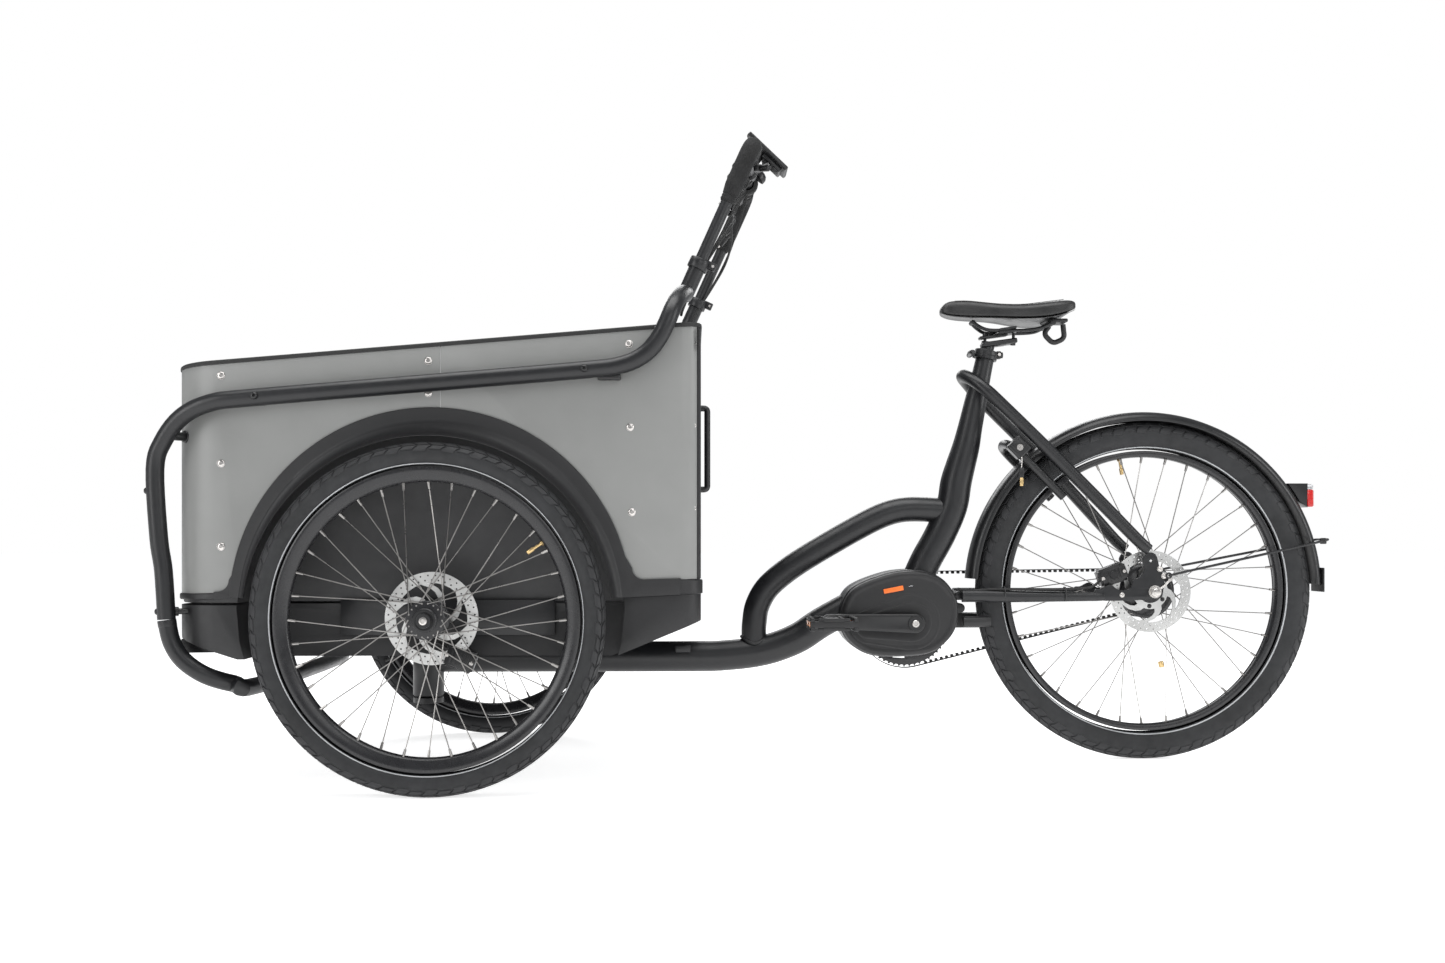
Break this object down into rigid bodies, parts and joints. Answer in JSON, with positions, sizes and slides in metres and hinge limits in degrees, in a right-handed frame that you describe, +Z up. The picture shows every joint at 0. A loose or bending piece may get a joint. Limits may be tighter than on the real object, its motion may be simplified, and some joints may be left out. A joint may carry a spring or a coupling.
{
  "type": "cargo bicycle",
  "caption": "Electric cargo bicycle: a rounded open cargo box on two front wheels that steers as one module ahead of a belt-driven single-wheel rear frame.",
  "frame": {"origin": "on the ground, below the middle of the bicycle's overall box", "axes": "+X along the bicycle towards its rear wheel, +Y to the rider's right, the belt side, +Z up"},
  "size_m": [2.1915, 0.88, 1.2341],
  "materials": {
    "frame": "satin black powder coat",
    "plastic": "fine matt grain",
    "panel": "satin grey",
    "tyre": "matt rubber",
    "rim": "black anodised",
    "steel": "bright",
    "cover": "grained synthetic cover",
    "brass": "satin",
    "rubber": "matt",
    "lens": "translucent red",
    "wood": "textured black liner"
  },
  "bodies": {
    "rear_frame": {"main_tube": "frame", "upper_tube": "frame", "seat_tube": "frame", "seat_stays": "frame", "chain_stay_left": "frame", "chain_stay_right": "frame", "motor_housing": "plastic", "motor_cover": "plastic", "rear_axle": "steel", "rear_caliper": "frame", "rear_mudguard": "plastic", "mudguard_stay": "steel", "tail_light": "lens", "frame_lock": "plastic", "drive_belt": "rubber", "seat_collar": "frame"},
    "front_module": {"axle_beam": "frame", "base_tray": "plastic", "cargo_liner": "wood", "panel_front": "panel", "panel_left": "panel", "panel_right": "panel", "panel_rear": "plastic", "top_trim": "rubber", "wheel_arch_left": "plastic", "wheel_arch_right": "plastic", "side_bar_left": "frame", "side_bar_right": "frame", "bumper_loop": "frame", "front_caliper_left": "frame", "front_caliper_right": "frame", "headlight": "plastic"},
    "rear_wheel": {"rear_tyre": "tyre", "rear_rim": "rim", "rear_hub": "rim", "rear_disc": "steel"},
    "belt_pulley": {"rear_sprocket": "rim"},
    "crankset": {"crank_spindle": "steel", "crank_left": "frame", "crank_right": "frame", "front_sprocket": "rim"},
    "pedal_left": {"pedal_left": "plastic"},
    "pedal_right": {"pedal_right": "plastic"},
    "seat": {"seatpost": "frame", "saddle_frame": "steel", "saddle": "cover"},
    "seat_quick_release": {"seat_lever": "plastic"},
    "hanging_key": {"lock_key": "brass"},
    "handlebar": {"handlebar": "frame"},
    "brake_lever_left": {"brake_lever_left": "steel"},
    "brake_lever_right": {"brake_lever_right": "steel"},
    "screen": {"display": "plastic"},
    "front_wheel_left": {"front_tyre_left": "tyre", "front_rim_left": "rim", "front_hub_left": "rim", "front_disc_left": "steel"},
    "front_wheel_right": {"front_tyre_right": "tyre", "front_rim_right": "rim", "front_hub_right": "rim", "front_disc_right": "steel"}
  },
  "joints": [
    {"name": "steering", "type": "hinge", "parent": "rear_frame", "child": "front_module", "pos_m": [-0.677, 0, 0.205], "axis": [0, 0, 1], "range_deg": [-28, 28]},
    {"name": "rear_wheel_spin", "type": "hinge", "parent": "rear_frame", "child": "rear_wheel", "pos_m": [0.739, 0, 0.3345], "axis": [0, 1, 0], "continuous": true},
    {"name": "crank_spin", "type": "hinge", "parent": "rear_frame", "child": "crankset", "pos_m": [0.272, 0, 0.274], "axis": [0, 1, 0], "continuous": true},
    {"name": "belt_pulley_spin", "type": "hinge", "parent": "rear_frame", "child": "belt_pulley", "pos_m": [0.739, 0, 0.3345], "axis": [0, 1, 0], "continuous": true},
    {"name": "seatpost_slide", "type": "slide", "parent": "rear_frame", "child": "seat", "axis": [0.2113, 0, 0.9774], "range_m": [0, 0.1]},
    {"name": "seat_release", "type": "hinge", "parent": "rear_frame", "child": "seat_quick_release", "pos_m": [0.39689, 0, 0.80223], "axis": [0.2113, 0, 0.9774], "range_deg": [-90, 0]},
    {"name": "key_swing", "type": "hinge", "parent": "rear_frame", "child": "hanging_key", "pos_m": [0.4805, -0.0705, 0.576], "axis": [0, 1, 0], "range_deg": [-35, 35]},
    {"name": "handlebar_slide", "type": "slide", "parent": "front_module", "child": "handlebar", "axis": [0.4097, 0, 0.9122], "range_m": [0, 0.03]},
    {"name": "display_tilt", "type": "hinge", "parent": "handlebar", "child": "screen", "pos_m": [-0.046, 0, 1.161], "axis": [0, 1, 0], "range_deg": [-12, 12]},
    {"name": "front_wheel_left_spin", "type": "hinge", "parent": "front_module", "child": "front_wheel_left", "pos_m": [-0.605, -0.395, 0.3005], "axis": [0, 1, 0], "continuous": true},
    {"name": "pedal_left_spin", "type": "hinge", "parent": "crankset", "child": "pedal_left", "pos_m": [0.105, -0.08, 0.278], "axis": [0, 1, 0], "continuous": true},
    {"name": "brake_left_pull", "type": "hinge", "parent": "handlebar", "child": "brake_lever_left", "pos_m": [-0.08244, -0.14, 1.11588], "axis": [0.7779, 0, -0.6283], "range_deg": [0, 16], "stiffness_Nm_per_rad": 0.6, "springref_deg": -8.59},
    {"name": "front_wheel_right_spin", "type": "hinge", "parent": "front_module", "child": "front_wheel_right", "pos_m": [-0.605, 0.395, 0.3005], "axis": [0, 1, 0], "continuous": true},
    {"name": "pedal_right_spin", "type": "hinge", "parent": "crankset", "child": "pedal_right", "pos_m": [0.439, 0.08, 0.27], "axis": [0, 1, 0], "continuous": true},
    {"name": "brake_right_pull", "type": "hinge", "parent": "handlebar", "child": "brake_lever_right", "pos_m": [-0.08244, 0.14, 1.11588], "axis": [-0.7779, 0, 0.6283], "range_deg": [0, 16], "stiffness_Nm_per_rad": 0.6, "springref_deg": -8.59}
  ],
  "couplings": [
    {"joint": "belt_pulley_spin", "follows": "crank_spin", "ratio": 2.2917}
  ]
}
